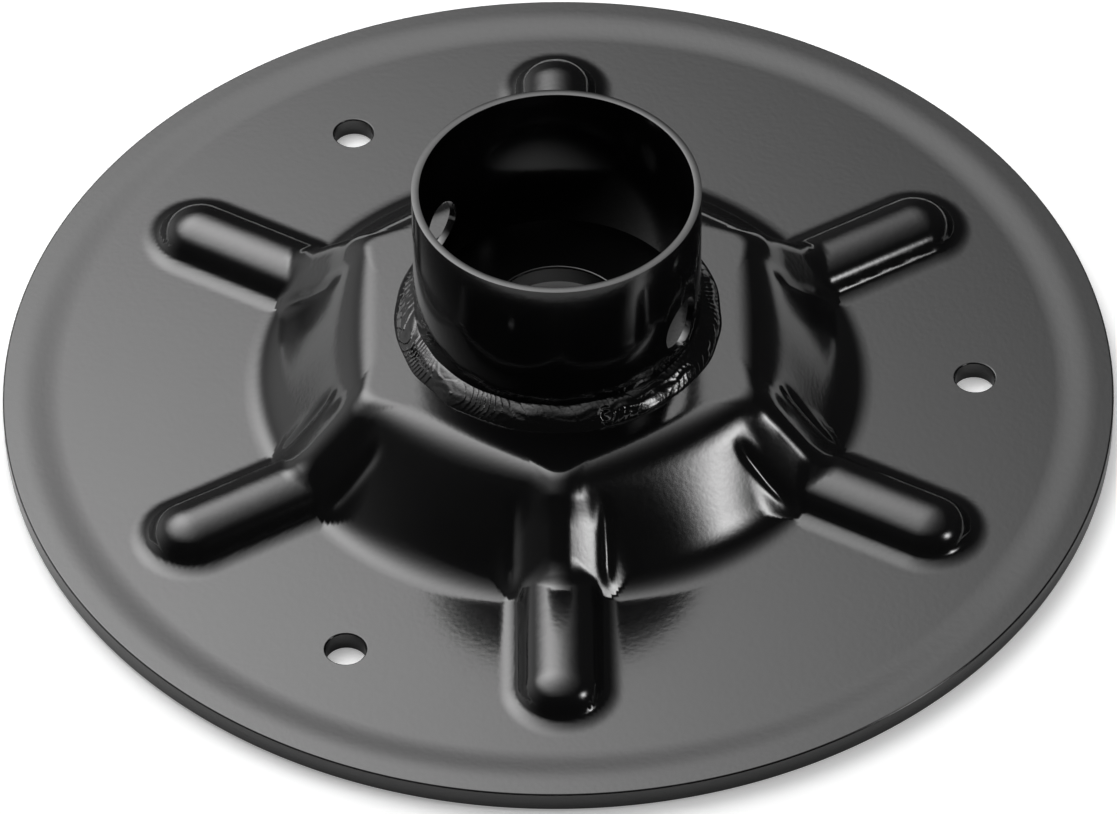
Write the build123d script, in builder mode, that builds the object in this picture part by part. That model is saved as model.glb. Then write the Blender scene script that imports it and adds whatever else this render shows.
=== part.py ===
from build123d import *

import os
from math import atan2, cos, degrees, radians, sin, tan

# Jack foot pad: a round pressed sheet foot with six ribs, and a welded socket tube for the jack leg.
# The origin is the centre of the flat underside that stands on the ground, and the tube rises along +Z.
# Angles run anticlockwise from +X, seen from above.


# Pressed disc, in millimetres
plate_diameter = 248.0
sheet_thickness = 4.76
rim_band_width = 8.0
rim_step_width = 4.0
rim_rise = 0.8

# Holes for ground anchors, equally spaced round the disc
anchor_hole_count = 3
anchor_circle_diameter = 186.2
anchor_hole_diameter = 9.0

# Raised centre: a six-sided flat top on a round foot
platform_sides = 6
platform_height = 21.0
platform_across_flats = 89.0
platform_corner_radius = 10.0
flat_side_share = 0.8
platform_edge_radius = 9.0
centre_foot_diameter = 126.0
centre_foot_radius = 4.0
drain_hole_diameter = 30.0

# Ribs, one in line with each corner of the flat top
rib_height = 6.6
rib_width = 20.0
rib_side_angle = 62.0
rib_crown_radius = 6.0
rib_foot_radius = 4.2
rib_reach = 103.5

# Noses, where the ribs climb to the corners of the flat top
nose_foot_reach = 64.0
nose_width = 19.0
nose_slope = 45.0
nose_edge_radius = 8.4
nose_valley_radius = 6.0

# Socket tube and its cross hole
tube_outer_diameter = 63.5
tube_wall = 1.65
tube_length = 38.6
pin_hole_diameter = 12.7
pin_hole_height = 12.6
pin_hole_angle = -30.0

# Fillet weld round the foot of the tube
weld_leg_on_top = 4.6
weld_leg_on_tube = 3.8
weld_crown = 0.6

platform_z = sheet_thickness + platform_height
tube_radius = tube_outer_diameter / 2
corner_angle = 180 / platform_sides
flank_run = (centre_foot_diameter - platform_across_flats) / 2
flank_slope = degrees(atan2(platform_height, flank_run))
rib_start = platform_across_flats / 3


def wall_step(inset, slope):
    """How far in plan a wall of this slope, in degrees, moves for a skin one inset further in."""
    return inset * tan(radians(slope) / 2)


def raised_centre(inset):
    """Six-sided flat top blended to a round foot, with the skin one inset inside the upper face."""
    base = sheet_thickness - inset
    step = wall_step(inset, flank_slope)
    foot_radius = centre_foot_diameter / 2 - step
    side_span = flat_side_share * 360 / platform_sides
    corner_span = 360 / platform_sides - side_span
    with BuildPart() as centre:
        with BuildSketch(Plane.XY.offset(base)):
            with BuildLine():
                for corner in range(platform_sides):
                    middle = corner_angle + corner * 2 * corner_angle
                    CenterArc((0, 0), foot_radius, middle - corner_span / 2, corner_span)
                    CenterArc((0, 0), foot_radius, middle + corner_span / 2, side_span)
            make_face()
        with BuildSketch(Plane.XY.offset(base + platform_height)) as top:
            RegularPolygon(
                platform_across_flats / 2 - step, platform_sides, major_radius=False, rotation=corner_angle
            )
            fillet(top.vertices(), platform_corner_radius)
        loft()
        fillet(centre.edges().group_by(Axis.Z)[-1], platform_edge_radius - inset)
        with BuildSketch(Plane.XY.offset(base)):
            Circle(foot_radius + centre_foot_radius + inset)
        extrude(amount=-sheet_thickness)
        level_edges = centre.edges().filter_by_position(Axis.Z, base - 0.001, base + 0.001)
        foot_edges = level_edges.filter_by(lambda edge: abs(edge.radius - foot_radius) < 0.001)
        fillet(foot_edges, centre_foot_radius + inset)
    return centre.part


def rib(inset):
    """Straight low rib along +X with a drafted, crowned section and a rounded outer end."""
    base = sheet_thickness - inset
    top = base + rib_height
    side_run, side_rise = cos(radians(rib_side_angle)), sin(radians(rib_side_angle))
    half_foot = rib_width / 2 - wall_step(inset, rib_side_angle)
    half_top = half_foot - rib_height * side_run / side_rise
    foot_ease = wall_step(rib_foot_radius + inset, rib_side_angle)
    crown_ease = wall_step(rib_crown_radius - inset, rib_side_angle)
    wall_foot = (half_foot - foot_ease * side_run, base + foot_ease * side_rise)
    wall_top = (half_top + crown_ease * side_run, top - crown_ease * side_rise)
    skirt = half_foot + foot_ease + rib_foot_radius
    end_centre = rib_reach - rib_width / 2
    with BuildPart() as ridge:
        with BuildSketch(Plane.YZ.offset(end_centre)) as half_section:
            with BuildLine():
                Bezier((half_foot + foot_ease, base), (half_foot, base), wall_foot)
                Line(wall_foot, wall_top)
                Bezier(wall_top, (half_top, top), (half_top - crown_ease, top))
                Polyline(
                    (half_top - crown_ease, top),
                    (0, top),
                    (0, base - sheet_thickness),
                    (skirt, base - sheet_thickness),
                    (skirt, base),
                    (half_foot + foot_ease, base),
                )
            make_face()
        extrude(half_section.sketch, amount=-(end_centre - rib_start))
        revolve(half_section.sketch, Axis((end_centre, 0, 0), (0, 0, -1)), 90)
        mirror(about=Plane.XZ)
    return ridge.part


def nose(inset):
    """Steep ridge along +X that carries the rib's crown up to a corner of the flat top."""
    base = sheet_thickness - inset
    top = base + platform_height
    crown = base + rib_height
    half_width = nose_width / 2 - inset
    valley = nose_foot_reach - wall_step(inset, nose_slope)
    rise, run = sin(radians(nose_slope)), cos(radians(nose_slope))
    brow = valley - (platform_height - rib_height) * run / rise
    valley_ease = wall_step(nose_valley_radius + inset, nose_slope)
    brow_ease = wall_step(platform_edge_radius - inset, nose_slope)
    valley_end = (valley - valley_ease * run, crown + valley_ease * rise)
    brow_start = (brow + brow_ease * run, top - brow_ease * rise)
    with BuildPart() as ridge:
        with BuildSketch(Plane.XZ):
            with BuildLine():
                Bezier((valley + valley_ease, crown), (valley, crown), valley_end)
                Line(valley_end, brow_start)
                Bezier(brow_start, (brow, top), (brow - brow_ease, top))
                Polyline(
                    (brow - brow_ease, top),
                    (rib_start, top),
                    (rib_start, base - sheet_thickness),
                    (valley + rib_width / 2, base - sheet_thickness),
                    (valley + rib_width / 2, crown),
                    (valley + valley_ease, crown),
                )
            make_face()
        extrude(amount=half_width, both=True)
        sides = ridge.faces().filter_by(Plane.XZ)
        long_edges = sides.edges().filter_by(
            lambda edge: edge.center().Z > base + 0.001
            and rib_start + 0.001 < edge.center().X < valley + rib_width / 2 - 0.001
        )
        fillet(long_edges, nose_edge_radius - inset)
    return ridge.part


def pressed_form(inset):
    """Everything under the pressed skin, which lies one inset inside the upper face."""
    with BuildPart() as form:
        add(raised_centre(inset))
        with PolarLocations(0, platform_sides, start_angle=corner_angle):
            add(rib(inset))
            add(nose(inset))
    return form.part


with BuildPart() as foot_plate:
    with BuildSketch(Plane.XZ):
        with BuildLine():
            band_inner = plate_diameter / 2 - rim_band_width
            step_start = band_inner - rim_step_width / 2
            step_end = band_inner + rim_step_width / 2
            Polyline(
                (0, 0),
                (step_start, 0),
                (step_end, rim_rise),
                (plate_diameter / 2, rim_rise),
                (plate_diameter / 2, rim_rise + sheet_thickness),
                (step_end, rim_rise + sheet_thickness),
                (step_start, sheet_thickness),
                (0, sheet_thickness),
                (0, 0),
            )
        make_face()
    revolve(axis=Axis.Z)
    with PolarLocations(anchor_circle_diameter / 2, anchor_hole_count):
        Hole(anchor_hole_diameter / 2)
    add(pressed_form(0))
    add(pressed_form(sheet_thickness), mode=Mode.SUBTRACT)
    Hole(drain_hole_diameter / 2)
foot_plate.part.label = "foot_plate"

with BuildPart() as socket_tube:
    with BuildSketch(Plane.XY.offset(platform_z)):
        Circle(tube_radius)
        Circle(tube_radius - tube_wall, mode=Mode.SUBTRACT)
    extrude(amount=tube_length)
    pin_axis = Plane.XZ.rotated((0, 0, pin_hole_angle + 90))
    with BuildSketch(pin_axis):
        with Locations((0, platform_z + pin_hole_height)):
            Circle(pin_hole_diameter / 2)
    extrude(amount=tube_outer_diameter, both=True, mode=Mode.SUBTRACT)
socket_tube.part.label = "socket_tube"

with BuildPart() as weld_bead:
    with BuildSketch(Plane.XZ):
        with BuildLine():
            foot = (tube_radius, platform_z)
            toe = (tube_radius + weld_leg_on_top, platform_z)
            top = (tube_radius, platform_z + weld_leg_on_tube)
            belly = (
                tube_radius + weld_leg_on_top / 2 + weld_crown,
                platform_z + weld_leg_on_tube / 2 + weld_crown,
            )
            Polyline(foot, toe, belly, top, foot)
        make_face()
    revolve(axis=Axis.Z)
weld_bead.part.label = "weld_bead"

os.makedirs("parts", exist_ok=True)
export_step(foot_plate.part, "parts/foot_plate.step")
export_step(socket_tube.part, "parts/socket_tube.step")
export_step(weld_bead.part, "parts/weld_bead.step")
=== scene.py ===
"""Looks of the jack foot pad: a pressed black steel foot with six ribs and a welded socket tube.

Lengths are in millimetres until a mesh is made. The camera's place, the floor and the lights are in metres.
Named angles are in degrees, apart from the camera's pitch and roll and the nose's slope, in radians. Those
round the axis run anticlockwise from +X, seen from above.
"""

import math
from collections import namedtuple

import bmesh
import bpy
import numpy as np
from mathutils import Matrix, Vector


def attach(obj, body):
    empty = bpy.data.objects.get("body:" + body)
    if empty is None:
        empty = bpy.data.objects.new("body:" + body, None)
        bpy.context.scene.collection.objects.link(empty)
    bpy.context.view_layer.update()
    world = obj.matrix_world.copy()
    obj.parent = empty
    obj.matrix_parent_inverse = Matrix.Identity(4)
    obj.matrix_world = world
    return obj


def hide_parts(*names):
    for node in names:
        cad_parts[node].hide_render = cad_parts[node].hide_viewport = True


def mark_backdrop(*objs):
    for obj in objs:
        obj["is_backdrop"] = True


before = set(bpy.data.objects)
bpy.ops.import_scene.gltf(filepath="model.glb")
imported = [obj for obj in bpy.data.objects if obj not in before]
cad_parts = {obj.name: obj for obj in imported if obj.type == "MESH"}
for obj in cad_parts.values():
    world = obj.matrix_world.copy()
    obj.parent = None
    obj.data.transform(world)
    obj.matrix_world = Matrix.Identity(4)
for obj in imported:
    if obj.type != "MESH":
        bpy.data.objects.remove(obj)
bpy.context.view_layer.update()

MM = 0.001
BODY = "root"

# Camera
LENS_MM = 267.84
SENSOR_MM = 36.0
CAMERA_PLACE = (0.00002, -1.30055, 1.32973)
CAMERA_PITCH = 0.7978059
CAMERA_ROLL = -0.0092385
CAMERA_FAR = 20.0

# Pressed plate
PLATE_R = 124.0
SHEET = 4.76
RIM_BAND_START = 111.0
RIM_BAND_END = 120.0
RIM_RISE = 0.5
RIM_ROUND = 0.45
DRAIN_R = 15.0
DRAIN_ROUND = 0.5
ROLL_TURNS = (25.0, 50.0, 75.0, 90.0)

# Anchor holes, each set in a gap in the plate's grid
HOLE_PCD_R = 93.1
HOLE_R = 4.5
HOLE_ANGLES = (0.0, 120.0, 240.0)
HOLE_ROLL = 0.35
GAP_HALF_RADIUS = 7.4
GAP_HALF_ANGLE = 4.6
GAP_SHARES = (0.35, 0.65, 0.85, 1.0)

# Raised centre
SECTORS = 6
SECTOR = 360.0 / SECTORS
RISE = 21.0
APOTHEM = 45.0
CORNER_R = 10.0
TOP_EDGE = 6.0
FOOT_R = 65.0
FOOT_EDGE_SHARE = 0.30

# Ribs: the section turns through these angles on these radii, and the straight wall has none
RIB_TURNS = (0.0, 25.0, 61.0, 61.0, 22.0, 0.0)
RIB_RADII = (13.0, 5.8, None, 2.2, 9.5)
RIB_H = 6.6
RIB_START = 20.0
RIB_END = 93.5
RIB_EASE = 2.0
BEND_STEPS = 24

# Noses, from each corner of the flat top down to the crown of its rib
VALLEY_U = 67.0
NOSE_SLOPE = math.radians(40.0)
NOSE_BROW = 3.5
NOSE_TURNS = (0.0, 24.0, 29.0, 29.0)
NOSE_RADII = (6.0, 80.0, None)
NOSE_DEPTH = 12.0
NOSE_EASE = 3.4
NOSE_EASE_LOSS = 2.2
NOSE_EASE_SPAN = (2.0, 7.0)
TOP_FADE_START = 5.0
TOP_FADE_END = 0.2
EASE_SHARE = 0.5
CREASE_V = 10.2
CREASE_WIDTH = 1.3
CREASE_DEPTH = 0.9
CREASE_SPAN = (50.0, 54.0, 61.0, 66.0)

# Grid of the plate: runs of start, end and step, by angle in one sector and by radius
ANGLE_RUNS = ((0.0, 16.0, 1.0), (16.0, 44.0, 0.5), (44.0, 60.0, 1.0))
RADIUS_RUNS = (
    (DRAIN_R + DRAIN_ROUND, 34.0, 4.5),
    (34.0, 43.0, 1.0),
    (43.0, 69.0, 0.72),
    (69.0, 94.0, 1.5),
    (94.0, 108.0, 0.9),
    (108.0, 122.0, 1.4),
    (122.0, PLATE_R - RIM_ROUND, 1.6),
)
UNDERSIDE_EVERY = 2
NORMAL_STEP = 0.03

# Tube and its cross hole
TUBE_R = 31.75
TUBE_WALL = 1.65
TUBE_Z0 = SHEET + RISE
TUBE_LEN = 38.6
TUBE_FACETS = 192
TUBE_ROUND = 0.35
TUBE_ROUND_STEPS = 3
TUBE_ROUND_ANGLE = 40
TUBE_SHARP_ANGLE = 35
PIN_R = 6.35
PIN_Z = TUBE_Z0 + 12.6
PIN_ANGLE = -30.0
PIN_FACETS = 64
PIN_CUT_REACH = 40.0

# Weld bead
WELD_SEED = 11
WELD_TURNS = 1500
WELD_STEPS = 28
WELD_SHARP_ANGLE = 50
WELD_TOE = 4.6
WELD_TOE_DRIFT = 0.45
WELD_TOP = 3.8
WELD_TOP_DRIFT = 0.35
WELD_BULGE = 0.38

# Weld ripples: how many, how they lean and wander, and how high they stand
WELD_RIPPLES = 104
RIPPLE_LEAN = 2.4
RIPPLE_LEAN_MIDDLE = 0.45
RIPPLE_LEAN_POWER = 1.3
RIPPLE_LEAN_DRIFT = 1.2
RIPPLE_DRIFT = 2.2
RIPPLE_JITTER = 0.2
RIPPLE_SAW_POWER = 1.6
RIPPLE_SAW_MIDDLE = 0.4
RIPPLE_HEIGHT = 0.07
RIPPLE_HEIGHT_DRIFT = 0.06
ROUGH_HEIGHT = 0.20
ROUGH_STRETCHES = ((-117.0, 10.0), (-47.0, 13.0), (20.0, 18.0), (135.0, 30.0), (-160.0, 12.0))
STREAK_HEIGHT = 0.03
STREAK_WAVES = 6.0
STREAK_DRIFT = 3.0

# Where the weld stops over its own start
STOP_ANGLE = -65.0
STOP_STEP_HEIGHT = 0.35
STOP_STEP_WIDTH = 0.10
CRATER_ASIDE = 0.13
CRATER_PLACE = 0.42
CRATER_FACE = 5.5
CRATER_DEPTH = 0.75
CRATER_R = 0.75
CRATER_LIP_HEIGHT = 0.28
CRATER_LIP_R = 1.35
CRATER_LIP_WIDTH = 0.38

# Paint: dark and light colour, lowest and highest roughness, height and scale of the orange peel
PLATE_PAINT = ((0.003, 0.003, 0.0032), (0.005, 0.005, 0.0052), 0.11, 0.16, 0.000012, 900.0)
TUBE_PAINT = ((0.002, 0.002, 0.0022), (0.004, 0.004, 0.0042), 0.09, 0.14, 0.000008, 700.0)
WELD_PAINT = ((0.002, 0.002, 0.0022), (0.004, 0.004, 0.0042), 0.05, 0.10, 0.00004, 1400.0)
PAINT_IOR = 1.62
MOTTLE_SCALE = 60.0
MOTTLE_SHARE = 0.6
FINE_SCALE = 900.0
FINE_SHARE = 0.4
ROUGH_NOISE_SPAN = (0.3, 0.7)
GRAIN_SCALE_UP = 4.5
GRAIN_HEIGHT_SHARE = 0.12

# Floor
FLOOR_HALF = 6.0
FLOOR_DROP = 0.2 * MM
FLOOR_COLOURS = ((0.90, 0.90, 0.90), (0.88, 0.88, 0.88))
FLOOR_MOTTLE_SCALE = 8.0
FLOOR_ROUGHNESS = 0.8
FLOOR_SPECULAR = 0.1
FLOOR_LIFT = 0.30
FLOOR_LIFT_START = 0.03
FLOOR_LIFT_END = 0.06

# Lights and surroundings
WHITE = (1.0, 1.0, 1.0, 1.0)
AMBIENT = 0.03
GLOW = 0.7
GLOW_WAY = (-0.85, 0.48, 0.22)
GLOW_FOCUS = 5.0
PANEL_PLACE = (-0.42, 0.62, 1.0)
PANEL_TARGET = (-0.42, 0.62, 0.0)
PANEL_SIZE = (2.2, 2.4)
PANEL_SPREAD = (0.52, 0.62)
PANEL_RADIANCE = 6.1
SIDE_PLACE = (0.333, -0.180, 0.212)
SIDE_TARGET = (0.008, -0.055, 0.015)
SIDE_SIZE = (0.18, 0.20)
SIDE_SPREAD = (0.042, 0.050)
SIDE_RADIANCE = 13.0

Grid = namedtuple("Grid", "angles upper under top low")


def smooth_step(low, high, value):
    """Share from nought to one, as a value goes from low to high."""
    t = np.clip((value - low) / (high - low), 0.0, 1.0)
    return t * t * (3.0 - 2.0 * t)


def smooth_max(a, b, k):
    """Larger of two heights, eased over a height difference k."""
    k = np.maximum(k, 1e-6)
    ease = np.maximum(k - np.abs(a - b), 0.0)
    return np.maximum(a, b) + ease * ease / (4.0 * k)


def round_over(level, line, slope, reach):
    """A level top that eases down into a sloping line, within a reach on both sides of their corner."""
    t = (level - line) / np.tan(slope)
    x = np.clip((t + reach) / (2.0 * reach), 0.0, 1.0)
    eased = level - np.tan(slope) * 2.0 * reach * (x ** 3 - x ** 4 / 2.0)
    return np.where(t > reach, line, eased)


def round_under(level, line, slope, reach):
    """A line of the given slope that runs out on a level, with a soft hollow between them."""
    return -round_over(-level, -line, slope, reach)


def polygon_radius(phi):
    """Radius of the flat top's outline at an angle from a corner, in radians."""
    half = math.radians(SECTOR / 2)
    side = APOTHEM / np.cos(half - phi)
    middle = (APOTHEM - CORNER_R) / math.cos(half)
    corner = middle * np.cos(phi) + np.sqrt(np.maximum(CORNER_R ** 2 - (middle * np.sin(phi)) ** 2, 0.0))
    turn = math.atan2(CORNER_R / 2.0, middle + CORNER_R * math.cos(half))
    return np.where(phi < turn, corner, side)


def centre_height(r, phi):
    """Flat six-sided top with sloping sides that run out on a circle."""
    outline = polygon_radius(phi)
    run = FOOT_R - outline
    slope = np.arctan(RISE / run)
    line = RISE * (FOOT_R - r) / run
    upper = round_over(RISE, line, slope, TOP_EDGE)
    lower = round_under(0.0, line, slope, FOOT_EDGE_SHARE * run)
    return np.where(line > RISE / 2.0, upper, lower)


def bent_section(turns, radii, height):
    """Half section of a pressed rib: distance from its middle, and how far it has dropped there.

    Each run turns from one angle to the next on its own radius. The run with no radius is the straight
    wall, which takes up what is left of the height."""
    angles = [math.radians(t) for t in turns]
    bends = sum(abs(r * (math.cos(a) - math.cos(b))) for a, b, r in zip(angles, angles[1:], radii) if r)
    across, drop = [0.0], [0.0]
    for a, b, r in zip(angles, angles[1:], radii):
        if r is None:
            fall = height - bends
            across.append(across[-1] + fall / math.tan(a))
            drop.append(drop[-1] + fall)
            continue
        for k in range(1, BEND_STEPS + 1):
            now = a + (b - a) * k / BEND_STEPS
            before = a + (b - a) * (k - 1) / BEND_STEPS
            across.append(across[-1] + r * abs(math.sin(now) - math.sin(before)))
            drop.append(drop[-1] + r * abs(math.cos(before) - math.cos(now)))
    return np.array(across), np.array(drop)


RIB_ACROSS, RIB_DROP = bent_section(RIB_TURNS, RIB_RADII, RIB_H)
NOSE_ACROSS, NOSE_DROP = bent_section(NOSE_TURNS, NOSE_RADII, NOSE_DEPTH)


def rib_height(u, v):
    """Rib along u with a crowned top, steep walls, a soft flare and a round end."""
    w = np.where(u > RIB_END, np.hypot(u - RIB_END, v), v)
    h = RIB_H - np.interp(w, RIB_ACROSS, RIB_DROP)
    return np.where(u > RIB_START, h, 0.0)


def nose_height(u, v):
    """Steep ridge from the flat top's corner down to the rib's crown, with two slightly curved faces."""
    fall = np.interp(v, NOSE_ACROSS, NOSE_DROP)
    line = RIB_H + (VALLEY_U - u) * math.tan(NOSE_SLOPE) - fall / math.cos(NOSE_SLOPE)
    return round_over(RISE, line, NOSE_SLOPE, NOSE_BROW)


def crease(u, v):
    """Depth of the groove pressed in on both sides of the nose, where it meets the round flank."""
    start, full, fade, end = CREASE_SPAN
    along = smooth_step(start, full, u) * (1.0 - smooth_step(fade, end, u))
    return CREASE_DEPTH * along * np.exp(-((v - CREASE_V) / CREASE_WIDTH) ** 2)


def rim_height(r):
    """Raised band round the rim."""
    return RIM_RISE * smooth_step(RIM_BAND_START, RIM_BAND_END, r)


def skin_height(x, y):
    """Height of the upper skin above the ground.

    In each sector u runs out along the rib and v is the distance from the rib's middle."""
    r = np.hypot(x, y)
    rel = np.radians(np.mod(np.degrees(np.arctan2(y, x)), SECTOR) - SECTOR / 2)
    u = r * np.cos(rel)
    v = np.abs(r * np.sin(rel))
    phi = np.abs(rel)
    centre = centre_height(r, phi)
    rib = rib_height(u, v)
    nose = nose_height(u, v)
    low = np.clip(np.minimum(centre, rib), 0.0, None)
    h = smooth_max(centre, rib, np.minimum(RIB_EASE, EASE_SHARE * low))
    crest = np.clip(nose, 0.0, None)
    easing = NOSE_EASE - NOSE_EASE_LOSS * smooth_step(*NOSE_EASE_SPAN, v)
    easing = easing * (1.0 - smooth_step(RISE - TOP_FADE_START, RISE - TOP_FADE_END, np.minimum(h, nose)))
    blended = smooth_max(h, nose, np.minimum(easing, EASE_SHARE * crest))
    blended = np.minimum(blended, np.maximum(RISE, h)) - crease(u, v)
    return SHEET + blended + rim_height(r)


def skin_normal(x, y):
    """Unit normal of the upper skin."""
    e = NORMAL_STEP
    gx = (skin_height(x + e, y) - skin_height(x - e, y)) / (2 * e)
    gy = (skin_height(x, y + e) - skin_height(x, y - e)) / (2 * e)
    n = np.stack([-gx, -gy, np.ones_like(gx)], axis=-1)
    return n / np.linalg.norm(n, axis=-1, keepdims=True)


def spaced(runs):
    """Evenly spaced values over each run of start, end and step."""
    out = []
    for start, end, step in runs:
        count = max(1, int(round((end - start) / step)))
        out.extend(start + (end - start) * i / count for i in range(count))
    out.append(runs[-1][1])
    return np.array(out)


def link_new(name, data):
    """New object in the scene."""
    thing = bpy.data.objects.new(name, data)
    bpy.context.scene.collection.objects.link(thing)
    return thing


def add_mesh(name, verts, faces, normals=None):
    """New object from points in millimetres, smooth shaded, with its normals where they are known."""
    mesh = bpy.data.meshes.new(name)
    mesh.from_pydata((np.asarray(verts) * MM).tolist(), [], faces)
    mesh.update()
    for face in mesh.polygons:
        face.use_smooth = True
    if normals is not None:
        mesh.normals_split_custom_set_from_vertices(np.asarray(normals).tolist())
    return link_new(name, mesh)


class Shell:
    """Collects points, normals and faces of one closed skin."""

    def __init__(self):
        self.points = []
        self.normals = []
        self.faces = []
        self.count = 0

    def add(self, points, normals):
        """Takes points in, and gives back their numbers."""
        points = np.asarray(points).reshape(-1, 3)
        start = self.count
        self.points.append(points)
        self.normals.append(np.asarray(normals).reshape(-1, 3))
        self.count += len(points)
        return np.arange(start, self.count)

    def cover(self, numbers, rows, gaps, flip):
        """Quads over a round grid of point numbers, row by row, leaving out the cells in the gaps."""
        turns = numbers.shape[1]
        for i, next_i in zip(rows, rows[1:]):
            for j in range(turns):
                if (i, j) in gaps:
                    continue
                k = (j + 1) % turns
                corners = (numbers[i, j], numbers[next_i, j], numbers[next_i, k], numbers[i, k])
                quad = [int(corner) for corner in corners]
                self.faces.append(quad[:1] + quad[:0:-1] if flip else quad)

    def strip(self, a, b, flip):
        """Quads between two closed rings of point numbers."""
        n = len(a)
        for i in range(n):
            j = (i + 1) % n
            quad = [int(a[i]), int(a[j]), int(b[j]), int(b[i])]
            self.faces.append(quad[::-1] if flip else quad)

    def close(self, rings_top, rings_low, flip):
        """Strips along the rings of both skins, and one between the last of each."""
        for k in range(len(rings_top) - 1):
            self.strip(rings_top[k], rings_top[k + 1], flip)
            self.strip(rings_low[k], rings_low[k + 1], not flip)
        self.strip(rings_top[-1], rings_low[-1], flip)


def angle_rows():
    """Angles round the plate, closer together across each rib."""
    sector = spaced(ANGLE_RUNS)[:-1]
    return np.concatenate([sector + SECTOR * k for k in range(SECTORS)])


def gap_columns(degrees, hole):
    """Columns of the plate's grid that the gap round a hole takes up, in order."""
    rel = (degrees - hole + 180.0) % 360.0 - 180.0
    cols = np.where(np.abs(rel) < GAP_HALF_ANGLE)[0]
    return cols[np.argsort(rel[cols])]


def gap_outline(rows, cols):
    """Grid places round a gap, in order."""
    outline = [(rows[0], c) for c in cols]
    outline += [(r, cols[-1]) for r in rows[1:]]
    outline += [(rows[-1], c) for c in cols[-2::-1]]
    outline += [(r, cols[0]) for r in rows[-2:0:-1]]
    return outline


def at_level(plan, level):
    """Points or directions in plan, all with the same third part."""
    return np.column_stack([plan, np.full(len(plan), level)])


def add_anchor_hole(shell, grid, hole, outline):
    """Rings of points on both skins from a gap's outline in to the bore, with its edges rolled."""
    a = math.radians(hole)
    centre = np.array([HOLE_PCD_R * math.cos(a), HOLE_PCD_R * math.sin(a)])
    start = np.array([grid.upper[r, c, :2] for r, c in outline]) - centre
    heading = np.arctan2(start[:, 1], start[:, 0])
    bore = np.stack([np.cos(heading), np.sin(heading)], axis=-1)
    upright = np.zeros_like(bore)
    rings_top = [np.array([grid.top[r, c] for r, c in outline])]
    rings_low = [np.array([grid.low[r, c] for r, c in outline])]
    roll_r = HOLE_R + HOLE_ROLL
    for share in GAP_SHARES:
        flat = centre + start * (1 - share) + bore * roll_r * share
        rings_top.append(shell.add(at_level(flat, SHEET), at_level(upright, 1.0)))
        rings_low.append(shell.add(at_level(flat, 0.0), at_level(upright, -1.0)))
    for turn in ROLL_TURNS:
        t = math.radians(turn)
        ring = centre + bore * (roll_r - HOLE_ROLL * math.sin(t))
        drop = HOLE_ROLL * (1 - math.cos(t))
        facing = -bore * math.sin(t)
        rings_top.append(shell.add(at_level(ring, SHEET - drop), at_level(facing, math.cos(t))))
        rings_low.append(shell.add(at_level(ring, drop), at_level(facing, -math.cos(t))))
    shell.close(rings_top, rings_low, flip=True)


def add_cut_edge(shell, grid, row, way, size):
    """Rounded cut edge beyond one row of the grid, outward with way 1 and inward with way -1."""
    out = np.stack([np.cos(grid.angles), np.sin(grid.angles), np.zeros(len(grid.angles))], axis=-1) * way
    rings_top, rings_low = [grid.top[row]], [grid.low[row]]
    for turn in ROLL_TURNS:
        t = math.radians(turn)
        side = out * size * math.sin(t)
        drop = np.array([0.0, 0.0, size * (1 - math.cos(t))])
        lean = np.array([0.0, 0.0, math.cos(t)])
        rings_top.append(shell.add(grid.upper[row] + side - drop, out * math.sin(t) + lean))
        rings_low.append(shell.add(grid.under[row] + side + drop, out * math.sin(t) - lean))
    shell.close(rings_top, rings_low, flip=way > 0)


def build_plate():
    """Pressed plate: upper skin, underside one sheet thickness below it, holes and cut edges."""
    angles = np.radians(angle_rows())
    radii = spaced(RADIUS_RUNS)
    x = radii[:, None] * np.cos(angles)[None, :]
    y = radii[:, None] * np.sin(angles)[None, :]
    normals = skin_normal(x, y)
    upper = np.stack([x, y, skin_height(x, y)], axis=-1)
    under = upper - SHEET * normals
    rings, turns = x.shape
    last = rings - 1
    gap_rows = np.where(np.abs(radii - HOLE_PCD_R) < GAP_HALF_RADIUS)[0]
    kept = sorted(set(range(0, rings, UNDERSIDE_EVERY)) | {last} | {int(i) for i in gap_rows})

    shell = Shell()
    top = shell.add(upper, normals).reshape(rings, turns)
    low = np.full((rings, turns), -1)
    low[kept] = shell.add(under[kept], -normals[kept]).reshape(len(kept), turns)
    columns = [gap_columns(np.degrees(angles), hole) for hole in HOLE_ANGLES]
    gaps = {(int(r), int(c)) for cols in columns for r in gap_rows[:-1] for c in cols[:-1]}
    shell.cover(top, range(rings), gaps, flip=False)
    shell.cover(low, kept, gaps, flip=True)

    grid = Grid(angles, upper, under, top, low)
    for hole, cols in zip(HOLE_ANGLES, columns):
        add_anchor_hole(shell, grid, hole, gap_outline(gap_rows, cols))
    add_cut_edge(shell, grid, last, 1.0, RIM_ROUND)
    add_cut_edge(shell, grid, 0, -1.0, DRAIN_ROUND)
    return add_mesh("pressed_plate", np.concatenate(shell.points), shell.faces, np.concatenate(shell.normals))


def fill_mesh(mesh, bm):
    """Moves an edited mesh into its data block."""
    bm.to_mesh(mesh)
    bm.free()


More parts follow.
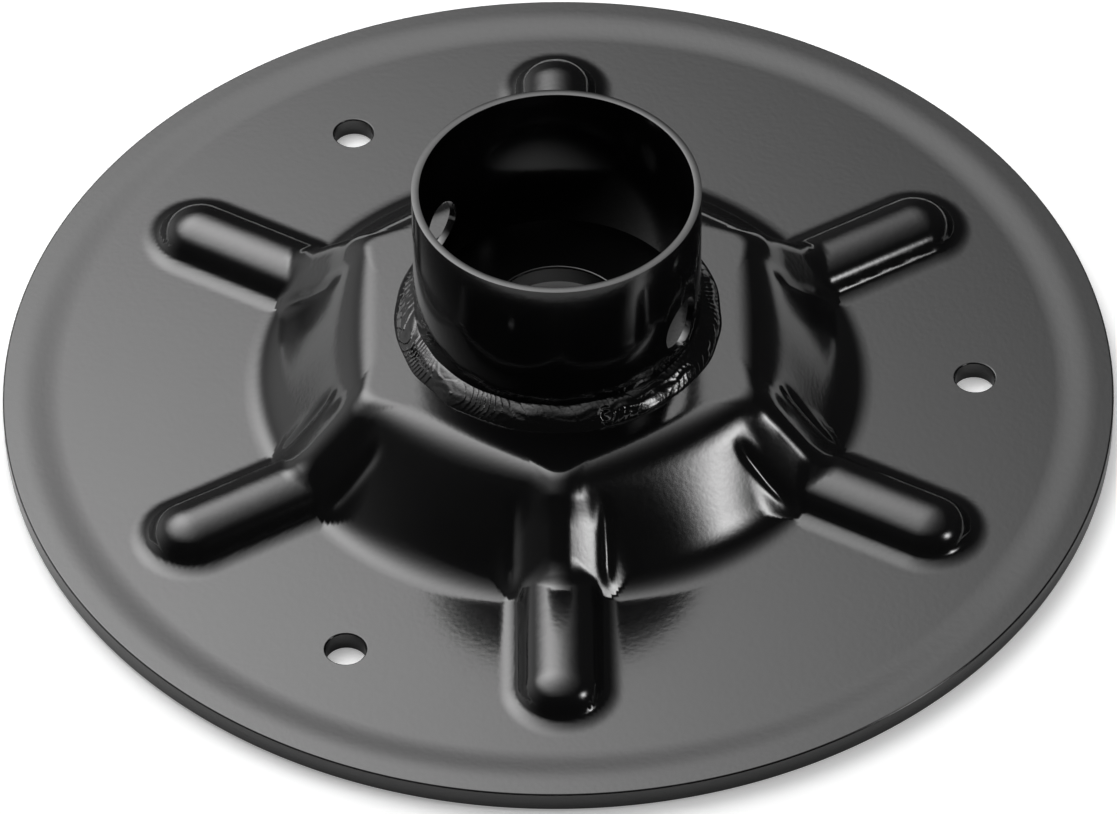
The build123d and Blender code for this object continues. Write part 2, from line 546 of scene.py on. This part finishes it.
def pin_cutter():
    """Round bar along the cross hole, to cut the tube with."""
    mesh = bpy.data.meshes.new("pin_cutter")
    cutter = link_new("pin_cutter", mesh)
    bm = bmesh.new()
    axis = Vector((math.cos(math.radians(PIN_ANGLE)), math.sin(math.radians(PIN_ANGLE)), 0.0))
    across = Vector((-axis.y, axis.x, 0.0))
    ends = []
    for end in (-1, 1):
        ring = []
        for i in range(PIN_FACETS):
            a = 2 * math.pi * i / PIN_FACETS
            rise = Vector((0, 0, PIN_Z + PIN_R * math.sin(a)))
            place = axis * (end * PIN_CUT_REACH) + across * (PIN_R * math.cos(a)) + rise
            ring.append(bm.verts.new(place * MM))
        ends.append(ring)
    for i in range(PIN_FACETS):
        j = (i + 1) % PIN_FACETS
        bm.faces.new((ends[0][i], ends[0][j], ends[1][j], ends[1][i]))
    bm.faces.new(ends[0][::-1])
    bm.faces.new(ends[1])
    bmesh.ops.recalc_face_normals(bm, faces=bm.faces)
    fill_mesh(mesh, bm)
    return cutter


def build_tube():
    """Socket tube with a cross hole, its edges slightly rounded."""
    mesh = bpy.data.meshes.new("leg_socket_tube")
    thing = link_new("leg_socket_tube", mesh)
    inner, top = TUBE_R - TUBE_WALL, TUBE_Z0 + TUBE_LEN
    bm = bmesh.new()
    loops = []
    for radius, z in ((TUBE_R, TUBE_Z0), (TUBE_R, top), (inner, top), (inner, TUBE_Z0)):
        steps = [2 * math.pi * i / TUBE_FACETS for i in range(TUBE_FACETS)]
        places = [(radius * MM * math.cos(a), radius * MM * math.sin(a), z * MM) for a in steps]
        loops.append([bm.verts.new(place) for place in places])
    for a, b in zip(loops, loops[1:] + loops[:1]):
        for i in range(TUBE_FACETS):
            j = (i + 1) % TUBE_FACETS
            bm.faces.new((a[i], a[j], b[j], b[i]))
    fill_mesh(mesh, bm)

    cutter = pin_cutter()
    cut = thing.modifiers.new("pin_hole", "BOOLEAN")
    cut.operation = "DIFFERENCE"
    cut.solver = "EXACT"
    cut.object = cutter
    bevel = thing.modifiers.new("edges", "BEVEL")
    bevel.width = TUBE_ROUND * MM
    bevel.segments = TUBE_ROUND_STEPS
    bevel.limit_method = "ANGLE"
    bevel.angle_limit = math.radians(TUBE_ROUND_ANGLE)
    apply_modifiers(thing)
    bpy.data.objects.remove(cutter)
    shade(thing, TUBE_SHARP_ANGLE)
    return thing


def apply_modifiers(thing):
    """Keeps the mesh that a piece's modifiers give."""
    graph = bpy.context.evaluated_depsgraph_get()
    made = bpy.data.meshes.new_from_object(thing.evaluated_get(graph))
    thing.modifiers.clear()
    thing.data = made


def shade(thing, angle):
    """Smooth shading with sharp edges above an angle."""
    for face in thing.data.polygons:
        face.use_smooth = True
    thing.data.set_sharp_from_angle(angle=math.radians(angle))


def drift(rng, waves, low=1):
    """Smooth random line round the weld, from minus one to one: a number of waves, from a lowest one up."""
    a = np.linspace(0.0, 2 * math.pi, WELD_TURNS, endpoint=False)
    line = np.zeros(WELD_TURNS)
    for k in range(low, low + waves):
        line += rng.normal() / math.sqrt(k) * np.cos(k * a + rng.uniform(0, 2 * math.pi))
    return (line / np.abs(line).max())[:, None]


def angle_off(ang, middle):
    """Angle from a place on the weld, in radians, from minus pi to pi."""
    return np.mod(ang - math.radians(middle) + math.pi, 2 * math.pi) - math.pi


def weld_ripples(rng, ang, par):
    """Height of the ripples and streaks: their spacing, lean and strength wander round the tube."""
    arch = np.sin(math.pi * par)
    lean = RIPPLE_LEAN * np.abs(par - RIPPLE_LEAN_MIDDLE) ** RIPPLE_LEAN_POWER
    lean = lean + RIPPLE_LEAN_DRIFT * drift(rng, 9) * par
    phase = WELD_RIPPLES * ang / (2 * math.pi) + RIPPLE_DRIFT * drift(rng, 14) + lean
    phase = phase + RIPPLE_JITTER * drift(rng, 60, 20) * np.sin(3.0 * math.pi * par + 1.0)
    saw = np.mod(phase, 1.0)
    strength = RIPPLE_HEIGHT + RIPPLE_HEIGHT_DRIFT * drift(rng, 12)
    for middle, width in ROUGH_STRETCHES:
        strength = strength + ROUGH_HEIGHT * np.exp(-(angle_off(ang, middle) / math.radians(width)) ** 2)
    ripple = strength * (saw ** RIPPLE_SAW_POWER - RIPPLE_SAW_MIDDLE) * arch ** 0.5
    streaks = np.sin(par * STREAK_WAVES * math.pi + STREAK_DRIFT * drift(rng, 40, 4))
    return ripple + STREAK_HEIGHT * streaks * arch * (1.0 + drift(rng, 18))


def weld_stop(ripple, ang, par):
    """Adds the place where the run stops over its own start: a step, and a small crater beside it."""
    stop = angle_off(ang, STOP_ANGLE)
    ripple = ripple + STOP_STEP_HEIGHT * np.exp(-(stop / STOP_STEP_WIDTH) ** 2) * np.sin(math.pi * par)
    away = np.hypot((stop + CRATER_ASIDE) * TUBE_R, (par - CRATER_PLACE) * CRATER_FACE)
    crater = CRATER_DEPTH * np.exp(-(away / CRATER_R) ** 2)
    lip = CRATER_LIP_HEIGHT * np.exp(-((away - CRATER_LIP_R) / CRATER_LIP_WIDTH) ** 2)
    return ripple - crater + lip


def build_weld():
    """Weld bead round the tube's foot, with uneven overlapping ripples and a wandering toe."""
    rng = np.random.default_rng(WELD_SEED)
    a = np.linspace(0.0, 2 * math.pi, WELD_TURNS, endpoint=False)
    ang, par = np.meshgrid(a, np.linspace(0.0, 1.0, WELD_STEPS), indexing="ij")
    toe = WELD_TOE + WELD_TOE_DRIFT * drift(rng, 22, 2)
    climb = WELD_TOP + WELD_TOP_DRIFT * drift(rng, 26, 2)
    belly = 0.5 + WELD_BULGE / 2
    rx = (1 - par) ** 2 * toe + 2 * par * (1 - par) * toe * belly
    rz = par ** 2 * climb + 2 * par * (1 - par) * climb * belly
    ripple = weld_stop(weld_ripples(rng, ang, par), ang, par)
    way = np.hypot(climb, toe)
    rx = rx + ripple * climb / way
    rz = np.maximum(rz + ripple * toe / way, 0.0)
    radius = TUBE_R + np.maximum(rx, 0.0)
    verts = np.stack([radius * np.cos(ang), radius * np.sin(ang), TUBE_Z0 + rz], axis=-1)
    root = np.stack([TUBE_R * np.cos(a), TUBE_R * np.sin(a), np.full(WELD_TURNS, TUBE_Z0)], axis=-1)
    rows = [verts[:, i] for i in range(WELD_STEPS)] + [root]
    count = len(rows)
    faces = []
    for k in range(count):
        m = (k + 1) % count
        for i in range(WELD_TURNS):
            j = (i + 1) % WELD_TURNS
            faces.append([k * WELD_TURNS + i, k * WELD_TURNS + j, m * WELD_TURNS + j, m * WELD_TURNS + i])
    thing = add_mesh("ripple_weld", np.concatenate(rows), faces)
    thing.data.set_sharp_from_angle(angle=math.radians(WELD_SHARP_ANGLE))
    return thing


def new_material(name):
    """New material, its node tree and its main shader."""
    material = bpy.data.materials.new(name)
    material.use_nodes = True
    tree = material.node_tree
    return material, tree, tree.nodes["Principled BSDF"]


def noise(tree, coords, scale, detail=2.0, roughness=0.5):
    """Noise in space, from nought to one."""
    node = tree.nodes.new("ShaderNodeTexNoise")
    node.inputs["Scale"].default_value = scale
    node.inputs["Detail"].default_value = detail
    node.inputs["Roughness"].default_value = roughness
    tree.links.new(coords, node.inputs["Vector"])
    return node.outputs["Fac"]


def remap(tree, value, low, high, to_low, to_high):
    """Value brought from one span to another."""
    node = tree.nodes.new("ShaderNodeMapRange")
    node.inputs["From Min"].default_value = low
    node.inputs["From Max"].default_value = high
    node.inputs["To Min"].default_value = to_low
    node.inputs["To Max"].default_value = to_high
    tree.links.new(value, node.inputs["Value"])
    return node.outputs["Result"]


def mix_colour(tree, share, first, second):
    """Colour between two, by a share."""
    node = tree.nodes.new("ShaderNodeMix")
    node.data_type = "RGBA"
    node.inputs["A"].default_value = (*first, 1)
    node.inputs["B"].default_value = (*second, 1)
    tree.links.new(share, node.inputs["Factor"])
    return node.outputs["Result"]


def math_node(tree, kind, a, b=0.0):
    """Arithmetic on one or two values or numbers."""
    node = tree.nodes.new("ShaderNodeMath")
    node.operation = kind
    for socket, value in zip(node.inputs, (a, b)):
        if isinstance(value, (int, float)):
            socket.default_value = value
        else:
            tree.links.new(value, socket)
    return node.outputs[0]


def vector_node(tree, kind, source):
    """Node that makes one value of a direction or place."""
    node = tree.nodes.new("ShaderNodeVectorMath")
    node.operation = kind
    tree.links.new(source, node.inputs[0])
    return node


def bump(tree, height, distance, normal=None):
    """Normal tilted by a height, over another normal where one is given."""
    node = tree.nodes.new("ShaderNodeBump")
    node.inputs["Strength"].default_value = 1.0
    node.inputs["Distance"].default_value = distance
    tree.links.new(height, node.inputs["Height"])
    if normal is not None:
        tree.links.new(normal, node.inputs["Normal"])
    return node.outputs["Normal"]


def black_paint(name, dark, light, rough_low, rough_high, peel, peel_scale):
    """Glossy black enamel with orange peel and faint mottling."""
    material, tree, shader = new_material(name)
    coords = tree.nodes.new("ShaderNodeTexCoord").outputs["Object"]
    mottle = noise(tree, coords, MOTTLE_SCALE, detail=4.0, roughness=0.6)
    tree.links.new(mix_colour(tree, mottle, dark, light), shader.inputs["Base Color"])
    fine = noise(tree, coords, FINE_SCALE, detail=3.0, roughness=0.6)
    coarse_part = math_node(tree, "MULTIPLY", mottle, MOTTLE_SHARE)
    fine_part = math_node(tree, "MULTIPLY", fine, FINE_SHARE)
    both = math_node(tree, "ADD", coarse_part, fine_part)
    rough = remap(tree, both, *ROUGH_NOISE_SPAN, rough_low, rough_high)
    tree.links.new(rough, shader.inputs["Roughness"])
    shader.inputs["IOR"].default_value = PAINT_IOR
    waves = noise(tree, coords, peel_scale, detail=2.0, roughness=0.45)
    normal = bump(tree, waves, peel)
    grain = noise(tree, coords, peel_scale * GRAIN_SCALE_UP)
    normal = bump(tree, grain, peel * GRAIN_HEIGHT_SHARE, normal)
    tree.links.new(normal, shader.inputs["Normal"])
    return material


def pale_floor():
    """Large pale floor just under the foot, lifted to white for the camera except below the drain hole."""
    size = FLOOR_HALF
    mesh = bpy.data.meshes.new("floor")
    corners = [(-size, -size, 0), (size, -size, 0), (size, size, 0), (-size, size, 0)]
    mesh.from_pydata(corners, [], [(0, 1, 2, 3)])
    floor = link_new("floor", mesh)
    floor.location.z = -FLOOR_DROP
    material, tree, shader = new_material("floor_paper")
    coords = tree.nodes.new("ShaderNodeTexCoord").outputs["Object"]
    colour = mix_colour(tree, noise(tree, coords, FLOOR_MOTTLE_SCALE), *FLOOR_COLOURS)
    tree.links.new(colour, shader.inputs["Base Color"])
    shader.inputs["Roughness"].default_value = FLOOR_ROUGHNESS
    shader.inputs["Specular IOR Level"].default_value = FLOOR_SPECULAR
    shader.inputs["Emission Color"].default_value = WHITE
    ray = tree.nodes.new("ShaderNodeLightPath").outputs["Is Camera Ray"]
    away = vector_node(tree, "LENGTH", coords).outputs["Value"]
    lift = remap(tree, away, FLOOR_LIFT_START, FLOOR_LIFT_END, 0.0, FLOOR_LIFT)
    tree.links.new(math_node(tree, "MULTIPLY", ray, lift), shader.inputs["Emission Strength"])
    mesh.materials.append(material)
    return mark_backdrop(floor)


def soft_panel(name, place, target, size, spread, radiance):
    """Rectangular light, as bright in its middle as given, that fades smoothly to its edges."""
    data = bpy.data.lights.new(name, "AREA")
    data.shape = "RECTANGLE"
    data.size, data.size_y = size
    data.energy = radiance * math.pi * size[0] * size[1]
    lamp = link_new(name, data)
    lamp.location = place
    lamp.rotation_euler = (Vector(target) - Vector(place)).to_track_quat("-Z", "Y").to_euler()
    lamp.visible_camera = False
    data.use_nodes = True
    tree = data.node_tree
    parts = tree.nodes.new("ShaderNodeSeparateXYZ")
    tree.links.new(tree.nodes.new("ShaderNodeNewGeometry").outputs["Parametric"], parts.inputs[0])
    squares = []
    for axis in (0, 1):
        middle = math_node(tree, "SUBTRACT", parts.outputs[axis], 0.5)
        offset = math_node(tree, "DIVIDE", middle, spread[axis] / size[axis])
        squares.append(math_node(tree, "MULTIPLY", offset, offset))
    total = math_node(tree, "ADD", *squares)
    fade = math_node(tree, "EXPONENT", math_node(tree, "MULTIPLY", total, -1.0))
    tree.links.new(fade, tree.nodes["Emission"].inputs["Strength"])


def surroundings():
    """Dim white surroundings with one soft glow low at the left."""
    world = bpy.data.worlds.new("studio")
    bpy.context.scene.world = world
    world.use_nodes = True
    tree = world.node_tree
    background = tree.nodes["Background"]
    background.inputs["Color"].default_value = WHITE
    sky = tree.nodes.new("ShaderNodeTexCoord").outputs["Generated"]
    facing = vector_node(tree, "DOT_PRODUCT", sky)
    facing.inputs[1].default_value = GLOW_WAY
    toward = math_node(tree, "MAXIMUM", facing.outputs["Value"], 0.0)
    near = math_node(tree, "POWER", toward, GLOW_FOCUS)
    strength = math_node(tree, "ADD", math_node(tree, "MULTIPLY", near, GLOW), AMBIENT)
    tree.links.new(strength, background.inputs["Strength"])


def studio_lights():
    """One wide soft panel overhead and behind, a small one low at the right, and dim surroundings."""
    surroundings()
    soft_panel("overhead_panel", PANEL_PLACE, PANEL_TARGET, PANEL_SIZE, PANEL_SPREAD, PANEL_RADIANCE)
    soft_panel("side_panel", SIDE_PLACE, SIDE_TARGET, SIDE_SIZE, SIDE_SPREAD, SIDE_RADIANCE)


def set_camera():
    """Camera at the photograph's viewing angle."""
    data = bpy.data.cameras.new("camera")
    data.lens = LENS_MM
    data.sensor_width = SENSOR_MM
    data.clip_end = CAMERA_FAR
    camera = link_new("camera", data)
    forward = Vector((0.0, math.cos(CAMERA_PITCH), -math.sin(CAMERA_PITCH)))
    level = Vector((1.0, 0.0, 0.0))
    upright = level.cross(forward)
    c, s = math.cos(CAMERA_ROLL), math.sin(CAMERA_ROLL)
    right = c * level + s * upright
    up = -s * level + c * upright
    matrix = camera.matrix_world.copy()
    for row in range(3):
        matrix[row][0], matrix[row][1], matrix[row][2] = right[row], up[row], -forward[row]
        matrix[row][3] = CAMERA_PLACE[row]
    camera.matrix_world = matrix
    bpy.context.scene.camera = camera


def dress(piece, material, node):
    """Paints a piece and lets it stand for its node of the frame."""
    piece.data.materials.clear()
    piece.data.materials.append(material)
    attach(piece, BODY)
    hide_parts(node)


set_camera()
studio_lights()
pale_floor()
bpy.context.scene.view_settings.view_transform = "Standard"

plate_paint = black_paint("plate_enamel", *PLATE_PAINT)
tube_paint = black_paint("tube_enamel", *TUBE_PAINT)
weld_paint = black_paint("weld_enamel", *WELD_PAINT)

dress(build_plate(), plate_paint, "foot_plate")
dress(build_tube(), tube_paint, "socket_tube")
dress(build_weld(), weld_paint, "weld_bead")
